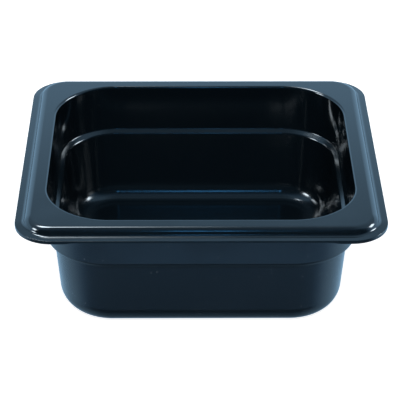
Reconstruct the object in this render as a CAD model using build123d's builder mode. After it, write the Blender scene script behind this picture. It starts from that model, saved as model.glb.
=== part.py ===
"""Deli food pan, one-sixth gastronorm size, 65 mm deep.

One injection-moulded piece of polycarbonate: a stepped, drafted basin that hangs from a raised,
hollow rim with a thin lip round its foot.  Millimetres, +Z up.  X runs along the longer side of
the rim, and the origin is the middle of the base, on the surface that the pan stands on.

Every outline of the pan is a rounded rectangle, given by its height and by how far it is set in
from the outer edge of the lip.  Outlines of one family keep the same centres for their corner
arcs, so a wall is as thick round its corners as along its sides.
"""
import os
from math import cos, radians, tan

from build123d import *

# ---- Overall size -------------------------------------------------------------------------------
PAN_LENGTH = 176.0  # over the lip, along X
PAN_WIDTH = 162.0  # over the lip, along Y
PAN_HEIGHT = 65.0  # base to the top of the rim
WALL = 2.6  # thickness of the floor, and of the walls where they meet the floor and the rim

# ---- Rim: a flat raised top with a thin lip round its foot ---------------------------------------
LIP_CORNER = 18.0
LIP_THICKNESS = 1.4  # where it meets the raised part
LIP_FALL = 0.25  # the lip's top slopes down this much to its outer edge
LIP_EDGE_RADIUS = 0.2
PAD_DEPTH = 0.6  # the lip is this much thicker at its corners
PAD_REACH = 26.0  # length of the thicker part along each side
RAISED_HEIGHT = 3.4  # rim top above the lip's top
RAISED_INSET = 4.0  # outer edge of the lip to the foot of the raised part
RAISED_SLOPE = tan(radians(24))  # the raised part's side leans in from upright
RAISED_TOP_RADIUS = 3.8
RAISED_FOOT_RADIUS = 1.8
CHANNEL_RADIUS = 0.8  # where the hollow underside meets the upper wall

# ---- Upper wall, from the opening down to the ledge ----------------------------------------------
OPENING_INSET = 13.7
OPENING_CORNER = 31.0
OPENING_EDGE_RADIUS = 1.3
UPPER_INNER_SLOPE = tan(radians(3.5))  # moulding draft, larger inside than outside
UPPER_OUTER_SLOPE = tan(radians(2.3))
UPPER_WALL = WALL / cos(radians(2.3))  # thickness at the top, measured level

# ---- Ledge: where the basin steps in, inside and outside -----------------------------------------
LEDGE_ROOT_HEIGHT = 40.6
LEDGE_WIDTH = 2.6
LEDGE_FALL = 1.7  # from the ledge's root down to its inner edge
LEDGE_ROOT_RADIUS = 0.9
LEDGE_EDGE_RADIUS = 1.6
SHOULDER_HEIGHT = 39.3  # outer edge of the step outside, which slopes like the ledge
SHOULDER_RADIUS = LEDGE_ROOT_RADIUS + WALL
SHOULDER_ROOT_RADIUS = 0.8

# ---- Lower basin ---------------------------------------------------------------------------------
BASIN_INNER_SLOPE = tan(radians(6.0))
BASIN_OUTER_SLOPE = tan(radians(4.6))
BASIN_WALL = WALL / cos(radians(4.6))  # thickness at the floor, measured level
FLOOR_HEIGHT = 2.6  # inside floor above the base
FLOOR_RADIUS = 9.0
BASE_RADIUS = FLOOR_RADIUS + WALL

# ---- Underside of the base -----------------------------------------------------------------------
FOOT_RING_WIDTH = 4.0
FOOT_RING_HEIGHT = 0.4
GATE_DIMPLE_RADIUS = 3.5  # the moulding gate's mark in the middle of the base
GATE_DIMPLE_DEPTH = 0.5
GATE_STUB_RADIUS = 0.9

# ---- Heights and insets worked out from the dimensions above -------------------------------------
LIP_TOP = PAN_HEIGHT - RAISED_HEIGHT
LIP_UNDERSIDE = LIP_TOP - LIP_THICKNESS
LIP_EDGE_TOP = LIP_TOP - LIP_FALL
PAD_UNDERSIDE = LIP_UNDERSIDE - PAD_DEPTH
RAISED_TOP_INSET = RAISED_INSET + RAISED_HEIGHT * RAISED_SLOPE

CHANNEL_CEILING = PAN_HEIGHT - WALL
CHANNEL_FOOT_INSET = RAISED_INSET + WALL / cos(radians(24))  # level with the lip's top
CHANNEL_MOUTH_INSET = CHANNEL_FOOT_INSET - (LIP_TOP - PAD_UNDERSIDE) * RAISED_SLOPE
CHANNEL_CEILING_INSET = CHANNEL_FOOT_INSET + (CHANNEL_CEILING - LIP_TOP) * RAISED_SLOPE

UPPER_TOP_INSET = OPENING_INSET - UPPER_WALL + (PAN_HEIGHT - CHANNEL_CEILING) * UPPER_OUTER_SLOPE
SHOULDER_INSET = OPENING_INSET - UPPER_WALL + (PAN_HEIGHT - SHOULDER_HEIGHT) * UPPER_OUTER_SLOPE
LEDGE_ROOT_INSET = OPENING_INSET + (PAN_HEIGHT - LEDGE_ROOT_HEIGHT) * UPPER_INNER_SLOPE
LEDGE_EDGE_INSET = LEDGE_ROOT_INSET + LEDGE_WIDTH
LEDGE_EDGE_HEIGHT = LEDGE_ROOT_HEIGHT - LEDGE_FALL

FLOOR_INSET = LEDGE_EDGE_INSET + (LEDGE_EDGE_HEIGHT - FLOOR_HEIGHT) * BASIN_INNER_SLOPE
BASE_INSET = FLOOR_INSET + FLOOR_HEIGHT * BASIN_OUTER_SLOPE - BASIN_WALL
LEDGE_RUN = LEDGE_WIDTH / LEDGE_FALL  # level distance for each millimetre of fall
STEP_FOOT_HEIGHT = (SHOULDER_INSET + SHOULDER_HEIGHT * LEDGE_RUN - BASE_INSET) / (
    LEDGE_RUN - BASIN_OUTER_SLOPE
)
STEP_FOOT_INSET = BASE_INSET - STEP_FOOT_HEIGHT * BASIN_OUTER_SLOPE
FOOT_RING_INSET = BASE_INSET + BASE_RADIUS * tan(radians(45 - 4.6 / 2))
RECESS_INSET = FOOT_RING_INSET + FOOT_RING_WIDTH

# Each family of outlines by the corner radius it would have at the outer edge of the lip
RIM = LIP_CORNER
BODY = OPENING_CORNER + OPENING_INSET


def outline(height, inset, family):
    """A level rounded rectangle, set in from the outer edge of the lip on every side."""
    with BuildSketch(Plane.XY.offset(height)) as flat:
        RectangleRounded(PAN_LENGTH - 2 * inset, PAN_WIDTH - 2 * inset, family - inset)
    return flat.sketch


def lip_corners(height):
    """The four corners of the lip's outline."""
    with BuildSketch(Plane.XY.offset(height)) as corners:
        RectangleRounded(PAN_LENGTH, PAN_WIDTH, LIP_CORNER)
        Rectangle(PAN_LENGTH - 2 * PAD_REACH, PAN_WIDTH, mode=Mode.SUBTRACT)
        Rectangle(PAN_LENGTH, PAN_WIDTH - 2 * PAD_REACH, mode=Mode.SUBTRACT)
    return corners.sketch


def level_edges(edges, height):
    """Those of the edges that lie level at a height."""
    return edges.filter_by(Plane.XY).filter_by_position(Axis.Z, height - 0.01, height + 0.01)


def on_lip_outline(edge):
    """Whether a level edge runs along the outer edge of the lip."""
    middle = edge.center()
    on_end = abs(middle.X) > PAN_LENGTH / 2 - 0.01
    on_side = abs(middle.Y) > PAN_WIDTH / 2 - 0.01
    return on_end or on_side or edge.geom_type == GeomType.CIRCLE


# Rim: the lip with its thicker corners, then the raised top, hollowed from below.
with BuildPart() as rim:
    extrude(outline(LIP_UNDERSIDE, 0, RIM), amount=LIP_THICKNESS - LIP_FALL)
    loft([outline(LIP_EDGE_TOP, 0, RIM), outline(LIP_TOP, RAISED_INSET, RIM)])
    fillet(level_edges(rim.edges(), LIP_EDGE_TOP), LIP_EDGE_RADIUS)
    extrude(lip_corners(PAD_UNDERSIDE), amount=PAD_DEPTH)
    lower_edges = level_edges(rim.edges(), PAD_UNDERSIDE) + level_edges(rim.edges(), LIP_UNDERSIDE)
    fillet(lower_edges.filter_by(on_lip_outline), LIP_EDGE_RADIUS)
    loft([outline(LIP_TOP, RAISED_INSET, RIM), outline(PAN_HEIGHT, RAISED_TOP_INSET, RIM)])
    fillet(level_edges(rim.edges(Select.LAST), LIP_TOP), RAISED_FOOT_RADIUS)
    fillet(level_edges(rim.edges(), PAN_HEIGHT), RAISED_TOP_RADIUS)
    channel_outlines = [
        outline(PAD_UNDERSIDE, CHANNEL_MOUTH_INSET, RIM),
        outline(CHANNEL_CEILING, CHANNEL_CEILING_INSET, RIM),
    ]
    loft(channel_outlines, mode=Mode.SUBTRACT)

# Outside of the walls: the upper wall, the step that slopes in under it, and the lower basin.
with BuildPart() as walls:
    outside_outlines = [
        outline(0, BASE_INSET, BODY),
        outline(STEP_FOOT_HEIGHT, STEP_FOOT_INSET, BODY),
        outline(SHOULDER_HEIGHT, SHOULDER_INSET, BODY),
        outline(CHANNEL_CEILING, UPPER_TOP_INSET, BODY),
    ]
    loft(outside_outlines, ruled=True)
    fillet(level_edges(walls.edges(), SHOULDER_HEIGHT), SHOULDER_RADIUS)
    fillet(level_edges(walls.edges(), STEP_FOOT_HEIGHT), SHOULDER_ROOT_RADIUS)
    fillet(level_edges(walls.edges(), 0), BASE_RADIUS)

# Space inside the pan: the basin, the ledge that slopes down into it, and the upper part.
with BuildPart() as cavity:
    inside_outlines = [
        outline(FLOOR_HEIGHT, FLOOR_INSET, BODY),
        outline(LEDGE_EDGE_HEIGHT, LEDGE_EDGE_INSET, BODY),
        outline(LEDGE_ROOT_HEIGHT, LEDGE_ROOT_INSET, BODY),
        outline(PAN_HEIGHT, OPENING_INSET, BODY),
    ]
    loft(inside_outlines, ruled=True)
    fillet(level_edges(cavity.edges(), LEDGE_ROOT_HEIGHT), LEDGE_ROOT_RADIUS)
    fillet(level_edges(cavity.edges(), LEDGE_EDGE_HEIGHT), LEDGE_EDGE_RADIUS)
    fillet(level_edges(cavity.edges(), FLOOR_HEIGHT), FLOOR_RADIUS)

# The pan: rim and walls as one moulding, hollowed by the cavity.
with BuildPart() as pan:
    add(rim.part)
    add(walls.part)
    fillet(level_edges(pan.edges(Select.LAST), CHANNEL_CEILING), CHANNEL_RADIUS)
    add(cavity.part, mode=Mode.SUBTRACT)
    fillet(level_edges(pan.edges(Select.LAST), PAN_HEIGHT), OPENING_EDGE_RADIUS)
    extrude(outline(0, RECESS_INSET, BODY), amount=FOOT_RING_HEIGHT, mode=Mode.SUBTRACT)
    with BuildSketch(Plane.XY.offset(FOOT_RING_HEIGHT)):
        Circle(GATE_DIMPLE_RADIUS)
        Circle(GATE_STUB_RADIUS, mode=Mode.SUBTRACT)
    extrude(amount=GATE_DIMPLE_DEPTH, mode=Mode.SUBTRACT)

pan.part.label = "pan"

os.makedirs("parts", exist_ok=True)
export_step(pan.part, "parts/pan.step")
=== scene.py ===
"""Looks of the deli food pan: one black polycarbonate moulding on a pale floor in soft light.

The pan is built as one closed mesh.  Its cut edge is drawn once, as straight runs joined by tangent
arcs, and carried round rounded-rectangle outlines, so every surface has an exact normal and the
gloss stays smooth.  Lengths of the pan are in millimetres until they become vertices, in metres.
"""
from math import atan2, ceil, cos, pi, radians, sin, tan

import bpy
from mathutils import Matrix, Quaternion, Vector


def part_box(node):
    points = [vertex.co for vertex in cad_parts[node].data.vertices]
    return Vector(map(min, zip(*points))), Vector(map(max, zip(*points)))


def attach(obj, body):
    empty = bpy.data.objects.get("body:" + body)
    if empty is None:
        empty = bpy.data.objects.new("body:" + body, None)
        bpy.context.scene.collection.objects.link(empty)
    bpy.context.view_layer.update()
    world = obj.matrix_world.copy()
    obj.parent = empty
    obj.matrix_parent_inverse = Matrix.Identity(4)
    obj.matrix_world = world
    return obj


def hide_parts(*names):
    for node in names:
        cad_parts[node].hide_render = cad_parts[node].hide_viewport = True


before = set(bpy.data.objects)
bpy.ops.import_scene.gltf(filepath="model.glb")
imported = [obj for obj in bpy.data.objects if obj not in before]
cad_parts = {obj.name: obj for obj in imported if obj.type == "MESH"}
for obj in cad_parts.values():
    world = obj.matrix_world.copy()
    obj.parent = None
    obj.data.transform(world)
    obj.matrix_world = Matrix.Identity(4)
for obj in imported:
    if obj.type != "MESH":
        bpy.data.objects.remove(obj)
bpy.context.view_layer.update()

MM = 0.001

# ---- The pan's dimensions, in mm ------------------------------------------------------------------
PAN_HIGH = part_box("pan")[1]
HALF_LENGTH = PAN_HIGH.x / MM
HALF_WIDTH = PAN_HIGH.y / MM
PAN_HEIGHT = PAN_HIGH.z / MM
WALL = 2.6

LIP_CORNER = 18.0
LIP_THICKNESS = 1.4
LIP_FALL = 0.25
LIP_EDGE_RADIUS = 0.2
PAD_DEPTH = 0.6
PAD_REACH = 26.0
PAD_RAMP = 5.0  # the thicker corners of the lip run out over this length
RAISED_HEIGHT = 3.4
RAISED_INSET = 4.0
RAISED_DRAFT = radians(24)
RAISED_TOP_RADIUS = 3.8
RAISED_FOOT_RADIUS = 1.8
CHANNEL_RADIUS = 0.8

OPENING_INSET = 13.7
OPENING_CORNER = 31.0
OPENING_EDGE_RADIUS = 1.3
UPPER_INNER_DRAFT = radians(3.5)
UPPER_OUTER_DRAFT = radians(2.3)

LEDGE_ROOT_HEIGHT = 40.6
LEDGE_WIDTH = 2.6
LEDGE_FALL = 1.7
LEDGE_ROOT_RADIUS = 0.9
LEDGE_EDGE_RADIUS = 1.6
SHOULDER_HEIGHT = 39.3
SHOULDER_RADIUS = LEDGE_ROOT_RADIUS + WALL
SHOULDER_ROOT_RADIUS = 0.8

BASIN_INNER_DRAFT = radians(6.0)
BASIN_OUTER_DRAFT = radians(4.6)
FLOOR_HEIGHT = 2.6
FLOOR_RADIUS = 9.0
FOOT_RING_WIDTH = 4.0
FOOT_RING_HEIGHT = 0.4
GATE_DIMPLE_RADIUS = 3.5
GATE_DIMPLE_DEPTH = 0.5
GATE_STUB_RADIUS = 0.9
BREAK_RADIUS = 0.15  # the slight rounding that a moulded edge always has

# Heights and insets that follow from those, as on the CAD model
LIP_TOP = PAN_HEIGHT - RAISED_HEIGHT
LIP_UNDERSIDE = LIP_TOP - LIP_THICKNESS
LIP_MIDDLE = LIP_TOP - LIP_THICKNESS / 2
RAISED_TOP_INSET = RAISED_INSET + RAISED_HEIGHT * tan(RAISED_DRAFT)
CHANNEL_CEILING = PAN_HEIGHT - WALL
UPPER_WALL = WALL / cos(UPPER_OUTER_DRAFT)
BASIN_WALL = WALL / cos(BASIN_OUTER_DRAFT)
LEDGE_ROOT_INSET = OPENING_INSET + (PAN_HEIGHT - LEDGE_ROOT_HEIGHT) * tan(UPPER_INNER_DRAFT)
LEDGE_EDGE_INSET = LEDGE_ROOT_INSET + LEDGE_WIDTH
LEDGE_EDGE_HEIGHT = LEDGE_ROOT_HEIGHT - LEDGE_FALL
FLOOR_INSET = LEDGE_EDGE_INSET + (LEDGE_EDGE_HEIGHT - FLOOR_HEIGHT) * tan(BASIN_INNER_DRAFT)
BASE_RADIUS = FLOOR_RADIUS + WALL


def upper_outside(height):
    """Inset of the upper wall's outside at a height."""
    return OPENING_INSET - UPPER_WALL + (PAN_HEIGHT - height) * tan(UPPER_OUTER_DRAFT)


def basin_outside(height):
    """Inset of the lower basin's outside at a height."""
    return FLOOR_INSET - BASIN_WALL + (FLOOR_HEIGHT - height) * tan(BASIN_OUTER_DRAFT)


def channel_side(height):
    """Inset of the hollow rim's outer side, seen from below, at a height."""
    return RAISED_INSET + WALL / cos(RAISED_DRAFT) + (height - LIP_TOP) * tan(RAISED_DRAFT)


BASE_INSET = basin_outside(0)
LEDGE_RUN = LEDGE_WIDTH / LEDGE_FALL
STEP_FOOT_HEIGHT = (upper_outside(SHOULDER_HEIGHT) + SHOULDER_HEIGHT * LEDGE_RUN - BASE_INSET) / (
    LEDGE_RUN - tan(BASIN_OUTER_DRAFT)
)
RECESS_INSET = BASE_INSET + BASE_RADIUS * tan(pi / 4 - BASIN_OUTER_DRAFT / 2) + FOOT_RING_WIDTH

# ---- How finely the mesh is divided ---------------------------------------------------------------
ARC_STEP = radians(7)  # along the cut edge
CORNER_STEPS = 28  # round a quarter turn of an outline
NEAR_CORNER = [0.035 + 0.013 * step for step in range(5)]  # shares of a side, where the pads run out
SIDE_SHARES = NEAR_CORNER + [0.26, 0.42, 0.58, 0.74] + [1 - share for share in reversed(NEAR_CORNER)]

# Each outline keeps one sum of inset and corner radius through the part of the pan it belongs to
RIM = LIP_CORNER
BASIN = OPENING_INSET + OPENING_CORNER
ROUND = None  # a circle in the middle of the base instead, inset from the ends of the rim

# How rough each finish is, as the shader counts it
POLISHED = 0.09  # rim
SMOOTH = 0.14  # inside
SATIN = 0.22  # outer walls and underside


def cut_edge():
    """Corners of the pan's cut edge, from the middle of the underside round to the floor.

    Each is (inset, height, rounding radius, outline family, roughness of the surface there).
    """
    gate_floor = FOOT_RING_HEIGHT + GATE_DIMPLE_DEPTH
    stub_inset = HALF_LENGTH - GATE_STUB_RADIUS
    dimple_inset = HALF_LENGTH - GATE_DIMPLE_RADIUS
    gate = [
        (HALF_LENGTH, FOOT_RING_HEIGHT, 0, ROUND, SATIN),
        (stub_inset, FOOT_RING_HEIGHT, BREAK_RADIUS, ROUND, SATIN),
        (stub_inset, gate_floor, BREAK_RADIUS, ROUND, SATIN),
        (dimple_inset, gate_floor, BREAK_RADIUS, ROUND, SATIN),
        (dimple_inset, FOOT_RING_HEIGHT, BREAK_RADIUS, ROUND, SATIN),
    ]
    outside = [
        (RECESS_INSET, FOOT_RING_HEIGHT, BREAK_RADIUS, BASIN, SATIN),
        (RECESS_INSET, 0, BREAK_RADIUS, BASIN, SATIN),
        (BASE_INSET, 0, BASE_RADIUS, BASIN, SATIN),
        (basin_outside(STEP_FOOT_HEIGHT), STEP_FOOT_HEIGHT, SHOULDER_ROOT_RADIUS, BASIN, SATIN),
        (upper_outside(SHOULDER_HEIGHT), SHOULDER_HEIGHT, SHOULDER_RADIUS, BASIN, SATIN),
        (upper_outside(CHANNEL_CEILING), CHANNEL_CEILING, CHANNEL_RADIUS, BASIN, SATIN),
    ]
    rim = [
        (channel_side(CHANNEL_CEILING), CHANNEL_CEILING, BREAK_RADIUS, RIM, SATIN),
        (channel_side(LIP_UNDERSIDE), LIP_UNDERSIDE, BREAK_RADIUS, RIM, SATIN),
        (0, LIP_UNDERSIDE, LIP_EDGE_RADIUS, RIM, POLISHED),
        (0, LIP_TOP - LIP_FALL, LIP_EDGE_RADIUS, RIM, POLISHED),
        (RAISED_INSET, LIP_TOP, RAISED_FOOT_RADIUS, RIM, POLISHED),
        (RAISED_TOP_INSET, PAN_HEIGHT, RAISED_TOP_RADIUS, RIM, POLISHED),
    ]
    inside = [
        (OPENING_INSET, PAN_HEIGHT, OPENING_EDGE_RADIUS, BASIN, POLISHED),
        (LEDGE_ROOT_INSET, LEDGE_ROOT_HEIGHT, LEDGE_ROOT_RADIUS, BASIN, SMOOTH),
        (LEDGE_EDGE_INSET, LEDGE_EDGE_HEIGHT, LEDGE_EDGE_RADIUS, BASIN, SMOOTH),
        (FLOOR_INSET, FLOOR_HEIGHT, FLOOR_RADIUS, BASIN, SMOOTH),
        (FLOOR_INSET + 2 * FLOOR_RADIUS, FLOOR_HEIGHT, 0, BASIN, SMOOTH),
    ]
    return gate + outside + rim + inside


def rounded(corners):
    """Stations along the cut edge: each corner becomes an arc that touches both of its runs.

    A station is (inset, height, outward part of the normal, upward part, family, roughness).
    """
    stations = []
    for before, corner, after in zip(corners, corners[1:], corners[2:]):
        inset, height, radius, family, rough = corner
        first = Vector((before[0] - inset, height - before[1]))
        second = Vector((inset - after[0], after[1] - height))
        first.normalize()
        second.normalize()
        turn = atan2(first.cross(second), first.dot(second))
        bend = 1 if turn > 0 else -1
        reach = radius * tan(abs(turn) / 2)
        start_normal = Vector((first.y, -first.x))
        start = Vector((-inset, height)) - first * reach
        centre = start - start_normal * radius * bend
        steps = max(2, ceil(abs(turn) / ARC_STEP))
        for step in range(steps + 1):
            angle = turn * step / steps
            normal = Vector((
                start_normal.x * cos(angle) - start_normal.y * sin(angle),
                start_normal.x * sin(angle) + start_normal.y * cos(angle),
            ))
            point = centre + normal * radius * bend
            stations.append((-point.x, point.y, normal.x, normal.y, family, rough))
    return stations


def around(inset, family):
    """Points and level outward directions round one outline, anticlockwise from above."""
    if family is ROUND:
        radius = HALF_LENGTH - inset
        bearings = [atan2(y, x) for x, y, _, _ in around(RECESS_INSET, BASIN)]
        return [(radius * cos(b), radius * sin(b), cos(b), sin(b)) for b in bearings]
    corner = family - inset
    centre_x = HALF_LENGTH - inset - corner
    centre_y = HALF_WIDTH - inset - corner
    points = []
    for quarter, (side_x, side_y) in enumerate(((1, 1), (-1, 1), (-1, -1), (1, -1))):
        for step in range(CORNER_STEPS + 1):
            angle = pi / 2 * (quarter + step / CORNER_STEPS)
            x = side_x * centre_x + corner * cos(angle)
            y = side_y * centre_y + corner * sin(angle)
            points.append((x, y, cos(angle), sin(angle)))
        along = (-2 * centre_x * side_y, 0) if side_x == side_y else (0, 2 * centre_y * side_x)
        x, y, out_x, out_y = points[-1]
        for share in SIDE_SHARES:
            points.append((x + along[0] * share, y + along[1] * share, out_x, out_y))
    return points


def pad_depth(x, y):
    """How far a corner pad lowers the lip's underside at a point."""
    past_x = (abs(x) - HALF_LENGTH + PAD_REACH) / PAD_RAMP + 0.5
    past_y = (abs(y) - HALF_WIDTH + PAD_REACH) / PAD_RAMP + 0.5
    share = max(0, min(1, past_x, past_y))
    return PAD_DEPTH * share * share * (3 - 2 * share)


def build_pan():
    """The pan as one closed mesh, with exact normals and the roughness of each point."""
    vertices = []
    normals = []
    roughness = []
    loops = []
    for inset, height, out, up, family, rough in rounded(cut_edge()):
        ring = around(inset, family)
        loops.append(range(len(vertices), len(vertices) + len(ring)))
        on_underside = family == RIM and height < LIP_MIDDLE
        for x, y, _, _ in ring:
            lowered = pad_depth(x, y) if on_underside else 0
            vertices.append((x * MM, y * MM, (height - lowered) * MM))
        normals += [(out_x * out, out_y * out, up) for _, _, out_x, out_y in ring]
        roughness += [rough] * len(ring)
    faces = [list(reversed(loops[0])), list(loops[-1])]
    for lower, upper in zip(loops, loops[1:]):
        for here in range(len(lower)):
            after = (here + 1) % len(lower)
            faces.append((lower[here], lower[after], upper[after], upper[here]))
    mesh = bpy.data.meshes.new("pan_moulding")
    mesh.from_pydata(vertices, [], faces)
    mesh.shade_smooth()
    mesh.normals_split_custom_set_from_vertices(normals)
    mesh.attributes.new("roughness", "FLOAT", "POINT").data.foreach_set("value", roughness)
    pan = bpy.data.objects.new("pan_moulding", mesh)
    bpy.context.collection.objects.link(pan)
    return pan


# ---- Materials ------------------------------------------------------------------------------------

PLASTIC = (0.0027, 0.0058, 0.0088, 1)
POLYCARBONATE_IOR = 1.585
HANDLING_ROUGHNESS = 0.05  # how much rougher the plastic is where it has been handled
HANDLING_SCALE = 28  # features to the metre
UNTOUCHED, HANDLED = 0.45, 0.75  # noise up to the one is untouched, and from the other fully handled
GRAIN_SCALE = 2600
GRAIN_HEIGHT = 0.000004  # metres
DUST = (0.09, 0.11, 0.12, 1)
DUST_SCALE = 420
DUST_SIZE = 0.12  # of the distance between specks
DUST_PATCH_SCALE = DUST_SCALE / 4
DUST_PATCH_START = 0.56  # noise above this has dust on it
FLOOR_COLOUR = (0.9, 0.9, 0.9, 1)
FLOOR_GLOW = 0.85


class Nodes:
    """Shorthand for adding and linking the nodes of one node tree."""

    def __init__(self, tree):
        self.tree = tree
        tree.nodes.clear()

    def add(self, kind, inputs=(), **settings):
        """A node of a kind, with its properties set and its inputs filled or linked."""
        node = self.tree.nodes.new("ShaderNode" + kind)
        for name, value in settings.items():
            setattr(node, name, value)
        for name, value in dict(inputs).items():
            if isinstance(value, bpy.types.NodeSocket):
                self.tree.links.new(value, node.inputs[name])
            else:
                node.inputs[name].default_value = value
        return node

    def math(self, operation, *values):
        """The result of a sum on values or sockets."""
        return self.add("Math", dict(enumerate(values)), operation=operation).outputs[0]

    def dot(self, socket, vector):
        """How far a direction goes along a fixed vector."""
        product = self.add("VectorMath", {0: socket, 1: vector}, operation="DOT_PRODUCT")
        return product.outputs["Value"]

    def fade(self, value, start, end):
        """0 up to one value and 1 from the other, smooth in between."""
        sockets = {"Value": value, "From Min": start, "From Max": end}
        return self.add("MapRange", sockets, interpolation_type="SMOOTHSTEP").outputs[0]

    def mix(self, share, first, second):
        """A blend of two values."""
        return self.add("Mix", {"Factor": share, "A": first, "B": second}).outputs[0]

    def noise(self, place, scale, detail):
        """Cloudy variation, about one half on average."""
        return self.add("TexNoise", {"Vector": place, "Scale": scale, "Detail": detail}).outputs[0]

    def brightness_ramp(self, height, steps):
        """Brightness over height, from steps of (degrees above level, brightness)."""
        share = self.math("MULTIPLY_ADD", height, 0.5, 0.5)
        ramp = self.add("ValToRGB", {"Fac": share})
        elements = ramp.color_ramp.elements
        while len(elements) < len(steps):
            elements.new(0.5)
        for element, (elevation, brightness) in zip(elements, steps):
            element.position = (sin(radians(elevation)) + 1) / 2
            element.color = (brightness, brightness, brightness, 1)
        return ramp.outputs[0]


def black_polycarbonate():
    """Black plastic: polished rim, smooth inside, satin and a little dusty outside."""
    material = bpy.data.materials.new("black_polycarbonate")
    material.use_nodes = True
    nodes = Nodes(material.node_tree)
    place = nodes.add("TexCoord").outputs["Object"]
    finish = nodes.add("Attribute", attribute_name="roughness").outputs["Fac"]
    outside = nodes.fade(finish, SMOOTH, SATIN)

    handled = nodes.fade(nodes.noise(place, HANDLING_SCALE, 3), UNTOUCHED, HANDLED)
    roughness = nodes.math("MULTIPLY_ADD", handled, HANDLING_ROUGHNESS, finish)

    specks = nodes.add("TexVoronoi", {"Vector": place, "Scale": DUST_SCALE}).outputs["Distance"]
    dusty = nodes.math("GREATER_THAN", nodes.noise(place, DUST_PATCH_SCALE, 1), DUST_PATCH_START)
    dust = nodes.math("MULTIPLY", nodes.fade(specks, DUST_SIZE, DUST_SIZE / 2), dusty)
    share = nodes.math("MULTIPLY", dust, outside)
    colour = nodes.add("Mix", {"Factor": share, "A": PLASTIC, "B": DUST}, data_type="RGBA")

    grain = nodes.math("MULTIPLY", nodes.noise(place, GRAIN_SCALE, 2), outside)
    bump = nodes.add("Bump", {"Height": grain, "Distance": GRAIN_HEIGHT})
    shader = nodes.add("BsdfPrincipled", {
        "Base Color": colour.outputs["Result"],
        "Roughness": roughness,
        "IOR": POLYCARBONATE_IOR,
        "Normal": bump.outputs[0],
    })
    nodes.add("OutputMaterial", {"Surface": shader.outputs[0]})
    return material


def pale_floor():
    """The plain pale surface that the pan stands on, lit a little from below like a light table."""
    material = bpy.data.materials.new("pale_floor")
    material.use_nodes = True
    nodes = Nodes(material.node_tree)
    shader = nodes.add("BsdfPrincipled", {
        "Base Color": FLOOR_COLOUR,
        "Roughness": 1.0,
        "Specular IOR Level": 0.0,
        "Emission Color": (1, 1, 1, 1),
        "Emission Strength": FLOOR_GLOW,
    })
    nodes.add("OutputMaterial", {"Surface": shader.outputs[0]})
    return material


# ---- Floor, light and camera ----------------------------------------------------------------------

FLOOR_REACH = 6.0  # metres from the pan's middle to each edge of the floor

# What the gloss shows.  The walls of the studio are ramps of (degrees above level, brightness).
BEHIND_TINT = (0.58, 1.0, 1.42, 1)
CAMERA_TINT = (0.47, 1.0, 1.7, 1)
BEHIND_WALL = (
    (-90, 0.15), (-70, 0.3), (-55, 0.42), (-45, 0.52), (-38, 0.88), (20, 1.1), (26, 1.05), (29, 0.78),
    (31.5, 0.52), (45, 0.65), (70, 0.55), (80, 0.3), (90, 0.22),
)
CAMERA_WALL = (
    (-90, 0.02), (-46, 0.02), (-41, 0.06), (-38, 0.74), (-34.5, 0.8), (-33, 0.08), (-27, 0.03),
    (40, 0.03), (60, 0.05), (80, 0.14), (90, 0.2),
)
WALLS_MEET = (-0.5, 0.05)  # how far to the back a direction points where the one wall becomes the other
# Soft boxes: azimuth and elevation, width and height in degrees, brightness and tint
NEUTRAL = (0.88, 1.0, 1.08, 1)
BLUE = (0.08, 0.45, 1.0, 1)
SOFT_BOXES = (
    (-76, 25, 14, 15, 20, NEUTRAL),
    (100, 28, 20, 18, 17, NEUTRAL),
    (-146, 64, 24, 12, 22, NEUTRAL),
    (1, 49, 1.5, 10, 10, BLUE),
)
SOFT_EDGE = 0.4  # how much of its width and height each fades out over at its edges

FILL_RADIANCE = 2.4
FILL_AZIMUTH = 0  # degrees, as are the next two
FILL_ELEVATION = 60
FILL_SPAN = 70  # how wide it looks from the pan
FILL_DISTANCE = 1.6  # metres


def lay_floor():
    """A level plane under the pan, large enough to fill every view."""
    mesh = bpy.data.meshes.new("floor")
    corners = [(x * FLOOR_REACH, y * FLOOR_REACH, 0) for x, y in ((-1, -1), (1, -1), (1, 1), (-1, 1))]
    mesh.from_pydata(corners, [], [(0, 1, 2, 3)])
    floor = bpy.data.objects.new("floor", mesh)
    bpy.context.collection.objects.link(floor)
    mesh.materials.append(pale_floor())
    floor.visible_glossy = False


def bearing(azimuth, elevation):
    """Unit vector towards a bearing: azimuth from straight in front of the pan, anticlockwise."""
    level = cos(radians(elevation))
    turned = radians(azimuth)
    return Vector((sin(turned) * level, -cos(turned) * level, sin(radians(elevation))))


def soft_box(nodes, direction, azimuth, elevation, wide, high, brightness):
    """What one soft box adds to the brightness seen in a direction."""
    towards = bearing(azimuth, elevation)
    facing = towards.to_track_quat("Z", "Y")
    seen = nodes.math("GREATER_THAN", nodes.dot(direction, towards), 0)
    for axis, span in ((Vector((1, 0, 0)), wide), (Vector((0, 1, 0)), high)):
        off = nodes.math("ARCSINE", nodes.dot(direction, facing @ axis))
        edge = radians(span / 2)
        inside = nodes.fade(nodes.math("ABSOLUTE", off), edge * (1 + SOFT_EDGE), edge * (1 - SOFT_EDGE))
        seen = nodes.math("MULTIPLY", seen, inside)
    return nodes.math("MULTIPLY", seen, brightness)


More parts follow.
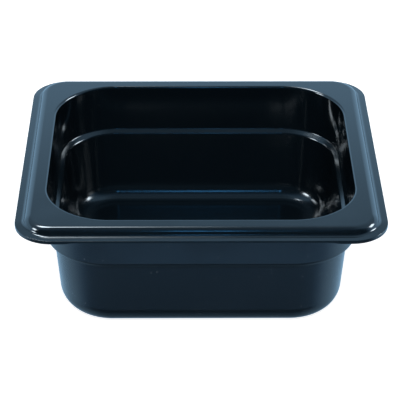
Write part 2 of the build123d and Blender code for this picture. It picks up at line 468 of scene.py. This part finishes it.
def light_surroundings():
    """A cool studio: a bright wall behind the pan, a mostly dark camera side, and soft boxes."""
    world = bpy.data.worlds.new("studio")
    bpy.context.scene.world = world
    world.use_nodes = True
    world.cycles_visibility.diffuse = False
    nodes = Nodes(world.node_tree)
    direction = nodes.add("TexCoord").outputs["Generated"]
    split = nodes.add("SeparateXYZ", {"Vector": direction})
    behind = nodes.brightness_ramp(split.outputs["Z"], BEHIND_WALL)
    before = nodes.brightness_ramp(split.outputs["Z"], CAMERA_WALL)
    is_behind = nodes.fade(split.outputs["Y"], *WALLS_MEET)
    tint = nodes.add("Mix", {"Factor": is_behind, "A": CAMERA_TINT, "B": BEHIND_TINT}, data_type="RGBA")
    brightness = nodes.mix(is_behind, before, behind)
    light = nodes.add("Background", {"Color": tint.outputs["Result"], "Strength": brightness})
    for *box, box_tint in SOFT_BOXES:
        shine = nodes.add("Background", {"Color": box_tint, "Strength": soft_box(nodes, direction, *box)})
        light = nodes.add("AddShader", {0: light.outputs[0], 1: shine.outputs[0]})
    nodes.add("OutputWorld", {"Surface": light.outputs[0]})


def hang_fill():
    """A wide soft light on the pan and the floor, which the gloss doesn't show."""
    light = bpy.data.lights.new("fill", "AREA")
    light.shape = "DISK"
    light.size = 2 * FILL_DISTANCE * tan(radians(FILL_SPAN / 2))
    light.energy = FILL_RADIANCE * pi * pi * light.size ** 2 / 4
    lamp = bpy.data.objects.new("fill", light)
    towards = bearing(FILL_AZIMUTH, FILL_ELEVATION)
    lamp.location = towards * FILL_DISTANCE
    lamp.rotation_mode = "QUATERNION"
    lamp.rotation_quaternion = towards.to_track_quat("Z", "Y")
    lamp.visible_glossy = False
    bpy.context.collection.objects.link(lamp)


VIEW_AZIMUTH = -0.59  # degrees
VIEW_ELEVATION = 30.90
VIEW_ROLL = 0.215
VIEW_DISTANCE = 0.9195  # metres, as are the next two
VIEW_RIGHT = -0.0001  # how far the aim is off the pan's middle, to the right and up
VIEW_UP = 0.00223
VIEW_LENS = 162.45  # mm, as is the next
SENSOR_WIDTH = 36


def place_camera():
    """The camera, at the height and distance of a product photograph taken with a long lens."""
    data = bpy.data.cameras.new("camera")
    data.lens = VIEW_LENS
    data.sensor_width = SENSOR_WIDTH
    camera = bpy.data.objects.new("camera", data)
    back = bearing(VIEW_AZIMUTH, VIEW_ELEVATION)
    facing = back.to_track_quat("Z", "Y")
    camera.rotation_mode = "QUATERNION"
    camera.rotation_quaternion = facing @ Quaternion((0, 0, 1), radians(VIEW_ROLL))
    right = facing @ Vector((1, 0, 0))
    up = facing @ Vector((0, 1, 0))
    middle = Vector((0, 0, PAN_HIGH.z / 2))
    camera.location = middle + back * VIEW_DISTANCE + right * VIEW_RIGHT + up * VIEW_UP
    bpy.context.collection.objects.link(camera)
    bpy.context.scene.camera = camera


pan = build_pan()
pan.data.materials.append(black_polycarbonate())
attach(pan, "root")
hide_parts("pan")

lay_floor()
light_surroundings()
hang_fill()
place_camera()
bpy.context.scene.view_settings.view_transform = "Standard"
